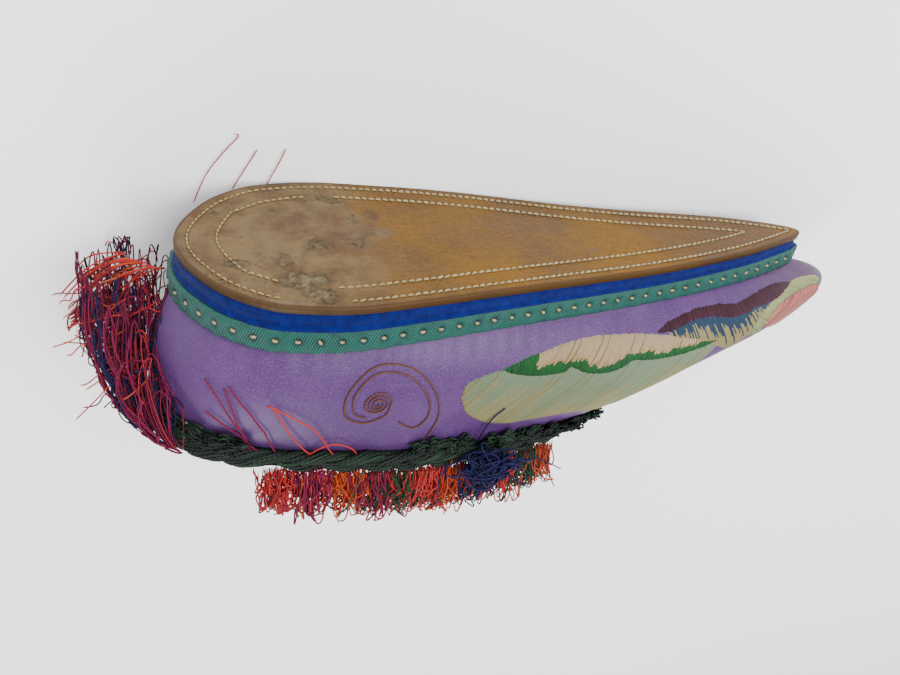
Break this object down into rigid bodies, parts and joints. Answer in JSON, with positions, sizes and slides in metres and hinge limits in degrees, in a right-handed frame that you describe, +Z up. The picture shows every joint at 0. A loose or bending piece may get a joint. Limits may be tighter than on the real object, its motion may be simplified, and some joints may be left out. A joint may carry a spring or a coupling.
{
  "type": "lotus shoe",
  "caption": "Small pointed folk shoe of embroidered purple satin with a stitched leather sole, ribbon binding, collar braid and silk fringe, lying on its side",
  "frame": {"origin": "on the floor, under the middle of the shoe as it lies on its right side", "axes": "+Z up from the floor, X along the shoe with the toe towards -X and the heel towards +X, the sole facing -Y and the collar facing +Y, leaned so that sole edge and upper both rest on the floor"},
  "size_m": [0.2154, 0.0954, 0.0686],
  "materials": {
    "leather": "vegetable-tanned sole leather, worn",
    "blue_cloth": "matt cotton cloth",
    "lining_cloth": "undyed cotton",
    "satin": "silk satin",
    "teal_ribbon": "ribbed silk ribbon",
    "green_silk": "twisted silk",
    "coral_silk": "twisted silk",
    "magenta_silk": "twisted silk",
    "navy_silk": "twisted silk",
    "sage_silk": "twisted silk"
  },
  "bodies": {
    "root": {"outsole": "leather", "midsole": "blue_cloth", "insole": "lining_cloth", "upper": "satin", "binding": "teal_ribbon", "collar_braid": "green_silk", "fringe_left": "coral_silk", "fringe_right": "magenta_silk", "heel_net": "magenta_silk", "knot_navy": "navy_silk", "tassel_coral": "coral_silk", "tassel_navy": "navy_silk", "tassel_sage": "sage_silk", "tassel_green": "green_silk"}
  },
  "joints": []
}
